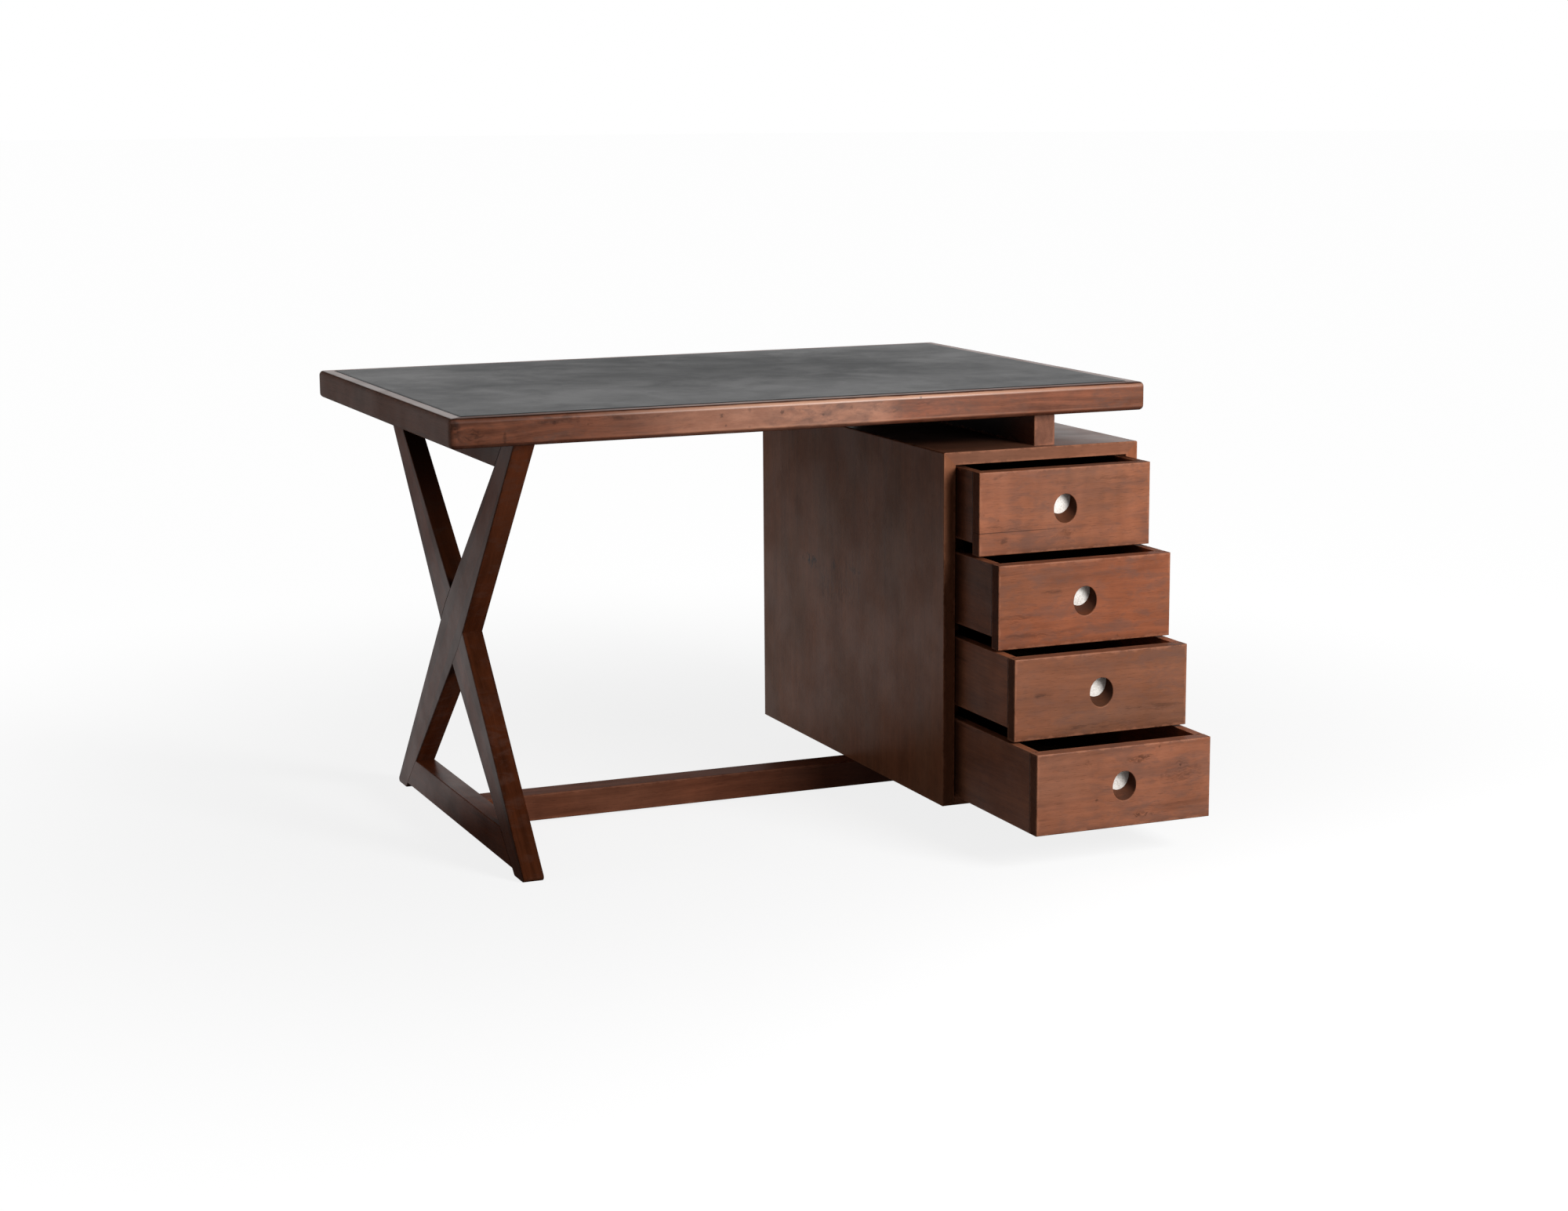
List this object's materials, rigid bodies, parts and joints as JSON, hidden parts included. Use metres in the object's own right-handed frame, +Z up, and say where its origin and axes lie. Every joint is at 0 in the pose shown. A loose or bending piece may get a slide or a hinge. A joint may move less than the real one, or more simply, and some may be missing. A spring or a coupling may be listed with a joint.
{
  "type": "writing desk",
  "caption": "Wooden writing desk with a leather-covered top on a crossed leg frame and an offset pedestal of drawers with slanted finger bores.",
  "frame": {"origin": "on the floor, at the middle of the space that the desk takes up with its drawers pulled out as stored", "axes": "+X along the desk towards the pedestal, +Y to the back, +Z up"},
  "size_m": [1.228, 1.103, 0.765],
  "materials": {
    "edge_band_wood": "oiled, satin",
    "core_board": "raw",
    "frame_wood": "oiled, satin",
    "pedestal_wood": "oiled, satin",
    "drawer_front_wood": "oiled, satin",
    "drawer_box_wood": "sanded",
    "plywood": "raw",
    "leather": "worn, matt",
    "pull_metal": "brushed, dulled",
    "screw_steel": "plain"
  },
  "bodies": {
    "desk": {"cross_frame_foot_rail": "frame_wood", "cross_frame_screws": "screw_steel", "cross_frame_top_rail": "frame_wood", "cross_leg_front_foot": "frame_wood", "cross_leg_rear_foot": "frame_wood", "leather_inlay": "leather", "pedestal_back": "plywood", "pedestal_bottom": "pedestal_wood", "pedestal_foot": "frame_wood", "pedestal_foot_screws": "screw_steel", "pedestal_left_side": "pedestal_wood", "pedestal_right_side": "pedestal_wood", "pedestal_top": "pedestal_wood", "runner_1_left": "drawer_box_wood", "runner_1_right": "drawer_box_wood", "runner_2_left": "drawer_box_wood", "runner_2_right": "drawer_box_wood", "runner_3_left": "drawer_box_wood", "runner_3_right": "drawer_box_wood", "runner_screws": "screw_steel", "spacer_rail": "frame_wood", "spacer_screws": "screw_steel", "stretcher": "frame_wood", "top_back_lipping": "edge_band_wood", "top_core": "core_board", "top_front_lipping": "edge_band_wood", "top_left_lipping": "edge_band_wood", "top_right_lipping": "edge_band_wood"},
    "drawer_1": {"drawer_1_back": "drawer_box_wood", "drawer_1_bottom": "plywood", "drawer_1_front": "drawer_front_wood", "drawer_1_left_side": "drawer_box_wood", "drawer_1_pull_plate": "pull_metal", "drawer_1_pull_screws": "screw_steel", "drawer_1_right_side": "drawer_box_wood"},
    "drawer_2": {"drawer_2_back": "drawer_box_wood", "drawer_2_bottom": "plywood", "drawer_2_front": "drawer_front_wood", "drawer_2_left_side": "drawer_box_wood", "drawer_2_pull_plate": "pull_metal", "drawer_2_pull_screws": "screw_steel", "drawer_2_right_side": "drawer_box_wood"},
    "drawer_3": {"drawer_3_back": "drawer_box_wood", "drawer_3_bottom": "plywood", "drawer_3_front": "drawer_front_wood", "drawer_3_left_side": "drawer_box_wood", "drawer_3_pull_plate": "pull_metal", "drawer_3_pull_screws": "screw_steel", "drawer_3_right_side": "drawer_box_wood"},
    "drawer_4": {"drawer_4_back": "drawer_box_wood", "drawer_4_bottom": "plywood", "drawer_4_front": "drawer_front_wood", "drawer_4_left_side": "drawer_box_wood", "drawer_4_pull_plate": "pull_metal", "drawer_4_pull_screws": "screw_steel", "drawer_4_right_side": "drawer_box_wood"}
  },
  "joints": [
    {"name": "drawer_1_slide", "type": "slide", "parent": "desk", "child": "drawer_1", "axis": [0, -1, 0], "range_m": [-0.085, 0.475]},
    {"name": "drawer_2_slide", "type": "slide", "parent": "desk", "child": "drawer_2", "axis": [0, -1, 0], "range_m": [-0.157, 0.403]},
    {"name": "drawer_3_slide", "type": "slide", "parent": "desk", "child": "drawer_3", "axis": [0, -1, 0], "range_m": [-0.216, 0.344]},
    {"name": "drawer_4_slide", "type": "slide", "parent": "desk", "child": "drawer_4", "axis": [0, -1, 0], "range_m": [-0.296, 0.264]}
  ]
}
